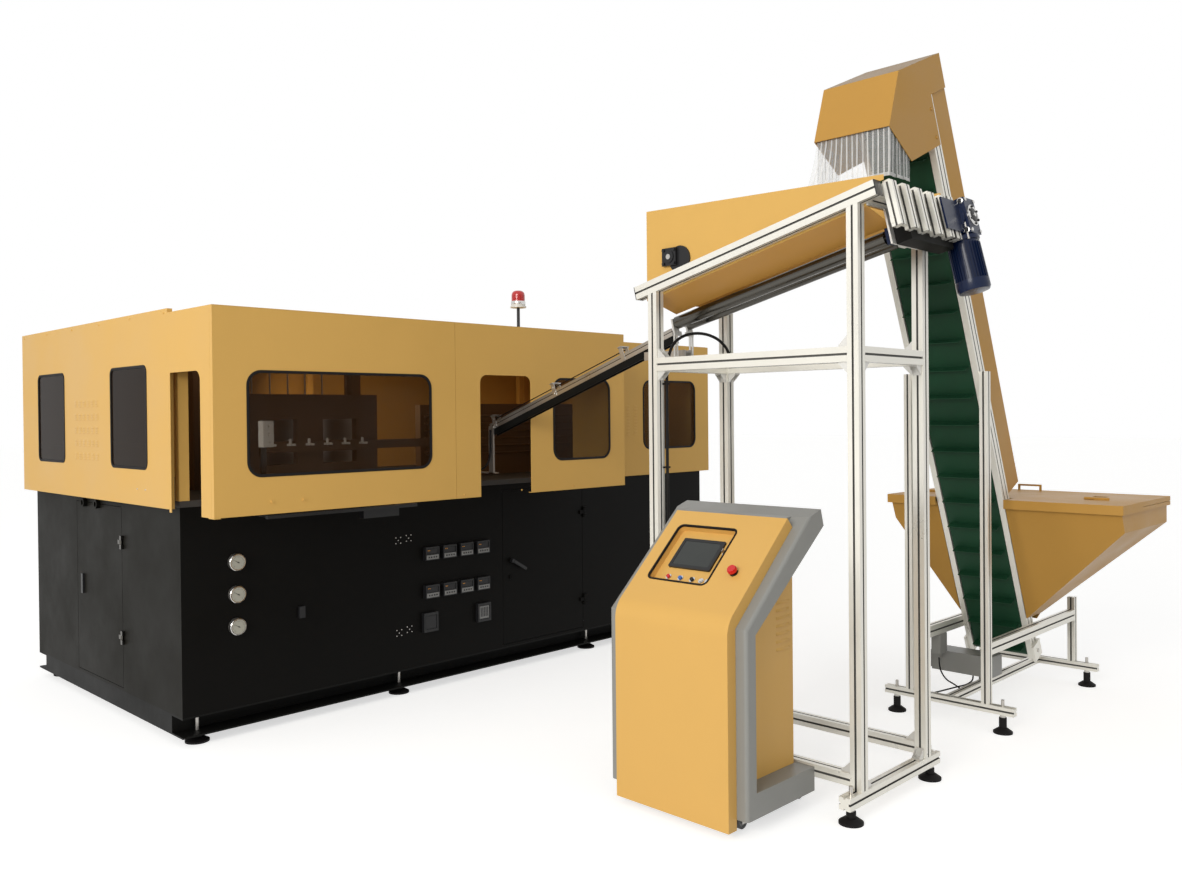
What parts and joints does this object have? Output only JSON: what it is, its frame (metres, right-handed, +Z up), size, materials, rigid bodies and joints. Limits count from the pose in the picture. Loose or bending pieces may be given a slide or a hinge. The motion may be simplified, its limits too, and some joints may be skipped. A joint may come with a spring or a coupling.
{
  "type": "stretch blow moulding machine",
  "caption": "Stretch blow moulding line for bottles: enclosed machine, preform chute, roller orienter, elevator with hopper and operator console.",
  "frame": {"origin": "on the floor, under the front left levelling foot of the machine", "axes": "+X along the machine to the right as the operator sees it, +Y from the console and the feeding stand towards the machine and the line's longest way, +Z up"},
  "size_m": [4.155, 5.341, 3.2387],
  "materials": {
    "tan_paint": "satin",
    "console_paint": "satin",
    "dark_paint": "satin",
    "grey_paint": "satin",
    "blue_paint": "satin",
    "black_paint": "satin",
    "aluminium": "satin",
    "steel": "satin",
    "smoked_glass": "gloss",
    "belt_green": "matte",
    "black_rubber": "matte",
    "strip_plastic": "satin",
    "white_plastic": "gloss",
    "red_plastic": "gloss",
    "blue_plastic": "gloss",
    "black_plastic": "satin"
  },
  "bodies": {
    "line": {"base_panels": "dark_paint", "base_skid": "black_paint", "beacon_dome": "red_plastic", "beacon_mast": "white_plastic", "chute": "steel", "clamp_frame": "steel", "console_cabinet": "grey_paint", "console_cheeks": "grey_paint", "console_front": "console_paint", "control_meters": "black_plastic", "corner_brackets": "aluminium", "drive_gearmotor": "blue_paint", "elevator_belt": "belt_green", "elevator_drive": "grey_paint", "elevator_frame": "aluminium", "elevator_guards": "tan_paint", "elevator_hood": "tan_paint", "end_enclosure": "tan_paint", "front_guard_box": "tan_paint", "heater_ovens": "steel", "hopper": "tan_paint", "levelling_feet": "black_rubber", "machine_cables": "black_rubber", "machine_table": "tan_paint", "orienter_bearings": "steel", "pressure_gauges": "steel", "rear_enclosure": "tan_paint", "stand_frame": "aluminium", "strip_curtain": "strip_plastic", "touch_screen": "black_plastic", "transfer_track": "steel", "trough": "tan_paint", "valve_block": "steel", "window_panes": "smoked_glass"},
    "left_end_door": {"left_end_door": "dark_paint"},
    "front_base_door": {"front_base_door": "dark_paint"},
    "door_lever": {"door_lever": "black_plastic"},
    "front_guard_door": {"front_guard_door": "tan_paint", "door_window": "smoked_glass"},
    "mould_front": {"mould_half_front": "aluminium"},
    "mould_back": {"mould_half_back": "aluminium"},
    "stretch_carriage": {"stretch_carriage": "aluminium"},
    "transfer_carriage": {"transfer_carriage": "aluminium"},
    "roller_left": {"roller_left": "steel"},
    "roller_right": {"roller_right": "steel"},
    "kicker": {"kicker_wheel": "steel"},
    "head_roller": {"head_roller": "steel"},
    "tail_roller": {"tail_roller": "steel"},
    "hopper_lid": {"hopper_lid": "tan_paint"},
    "button_red": {"push_button_red": "red_plastic"},
    "button_blue": {"push_button_blue": "blue_plastic"},
    "button_black": {"push_button_black": "black_plastic"},
    "stop": {"emergency_stop": "red_plastic"},
    "key": {"key_switch": "steel"},
    "fork_near": {"caster_fork_near": "steel"},
    "fork_far": {"caster_fork_far": "steel"},
    "wheel_front_near": {"wheel_front_near": "black_rubber"},
    "wheel_front_far": {"wheel_front_far": "black_rubber"},
    "wheel_rear_near": {"wheel_rear_near": "black_rubber"},
    "wheel_rear_far": {"wheel_rear_far": "black_rubber"}
  },
  "joints": [
    {"name": "left_end_door_swing", "type": "hinge", "parent": "line", "child": "left_end_door", "pos_m": [-0.118, 0.621, 0.64], "axis": [0, 0, 1], "range_deg": [0, 110]},
    {"name": "front_base_door_swing", "type": "hinge", "parent": "line", "child": "front_base_door", "pos_m": [2.595, -0.098, 0.64], "axis": [0, 0, 1], "range_deg": [0, 110]},
    {"name": "door_lever_turn", "type": "hinge", "parent": "front_base_door", "child": "door_lever", "pos_m": [1.956, -0.1, 0.68], "axis": [0, -1, 0], "range_deg": [0, 90]},
    {"name": "front_guard_door_swing", "type": "hinge", "parent": "line", "child": "front_guard_door", "pos_m": [-0.1525, -0.5515, 1.6], "axis": [0, 0, -1], "range_deg": [0, 100]},
    {"name": "mould_front_open", "type": "slide", "parent": "line", "child": "mould_front", "axis": [0, -1, 0], "range_m": [0, 0.12]},
    {"name": "mould_back_open", "type": "slide", "parent": "line", "child": "mould_back", "axis": [0, 1, 0], "range_m": [0, 0.12]},
    {"name": "stretch_stroke", "type": "slide", "parent": "line", "child": "stretch_carriage", "axis": [0, 0, -1], "range_m": [0, 0.27]},
    {"name": "transfer_stroke", "type": "slide", "parent": "line", "child": "transfer_carriage", "axis": [1, 0, 0], "range_m": [0, 0.7]},
    {"name": "roller_left_turn", "type": "hinge", "parent": "line", "child": "roller_left", "pos_m": [1.576, -1.76, 2.014], "axis": [0, -0.9724, 0.2334], "continuous": true},
    {"name": "roller_right_turn", "type": "hinge", "parent": "line", "child": "roller_right", "pos_m": [1.664, -1.76, 2.014], "axis": [0, -0.9724, 0.2334], "continuous": true},
    {"name": "kicker_turn", "type": "hinge", "parent": "line", "child": "kicker", "pos_m": [1.62, -1.889, 2.291], "axis": [1, 0, 0], "continuous": true},
    {"name": "head_roller_turn", "type": "hinge", "parent": "line", "child": "head_roller", "pos_m": [2.22727, -2.53, 3.02938], "axis": [0, 1, 0], "continuous": true},
    {"name": "tail_roller_turn", "type": "hinge", "parent": "line", "child": "tail_roller", "pos_m": [3.45358, -2.53, 0.27504], "axis": [0, 1, 0], "continuous": true},
    {"name": "hopper_lid_swing", "type": "hinge", "parent": "line", "child": "hopper_lid", "pos_m": [3.324, -2.53, 1.1275], "axis": [0, -1, 0], "range_deg": [0, 100]},
    {"name": "red_button_press", "type": "slide", "parent": "line", "child": "button_red", "axis": [0.669, 0, -0.7433], "range_m": [0, 0.003], "stiffness_N_per_m": 300, "springref_m": -0.002},
    {"name": "blue_button_press", "type": "slide", "parent": "line", "child": "button_blue", "axis": [0.669, 0, -0.7433], "range_m": [0, 0.003], "stiffness_N_per_m": 300, "springref_m": -0.002},
    {"name": "black_button_press", "type": "slide", "parent": "line", "child": "button_black", "axis": [0.669, 0, -0.7433], "range_m": [0, 0.003], "stiffness_N_per_m": 300, "springref_m": -0.002},
    {"name": "stop_press", "type": "slide", "parent": "line", "child": "stop", "axis": [0.669, 0, -0.7433], "range_m": [0, 0.005], "stiffness_N_per_m": 600, "springref_m": -0.002},
    {"name": "key_turn", "type": "hinge", "parent": "line", "child": "key", "pos_m": [1.11156, -2.382, 1.01235], "axis": [-0.669, 0, 0.7433], "range_deg": [0, 90]},
    {"name": "fork_near_swivel", "type": "hinge", "parent": "line", "child": "fork_near", "pos_m": [0.985, -2.553, 0.066], "axis": [0, 0, 1], "continuous": true},
    {"name": "fork_far_swivel", "type": "hinge", "parent": "line", "child": "fork_far", "pos_m": [0.985, -2.058, 0.066], "axis": [0, 0, 1], "continuous": true},
    {"name": "wheel_front_near_roll", "type": "hinge", "parent": "fork_near", "child": "wheel_front_near", "pos_m": [0.967, -2.553, 0.031], "axis": [0, 1, 0], "continuous": true},
    {"name": "wheel_front_far_roll", "type": "hinge", "parent": "fork_far", "child": "wheel_front_far", "pos_m": [0.967, -2.058, 0.031], "axis": [0, 1, 0], "continuous": true},
    {"name": "wheel_rear_near_roll", "type": "hinge", "parent": "line", "child": "wheel_rear_near", "pos_m": [1.372, -2.543, 0.031], "axis": [0, 1, 0], "continuous": true},
    {"name": "wheel_rear_far_roll", "type": "hinge", "parent": "line", "child": "wheel_rear_far", "pos_m": [1.372, -2.068, 0.031], "axis": [0, 1, 0], "continuous": true}
  ],
  "couplings": [
    {"joint": "mould_back_open", "follows": "mould_front_open", "ratio": 1},
    {"joint": "roller_right_turn", "follows": "roller_left_turn", "ratio": -1},
    {"joint": "tail_roller_turn", "follows": "head_roller_turn", "ratio": 1}
  ]
}
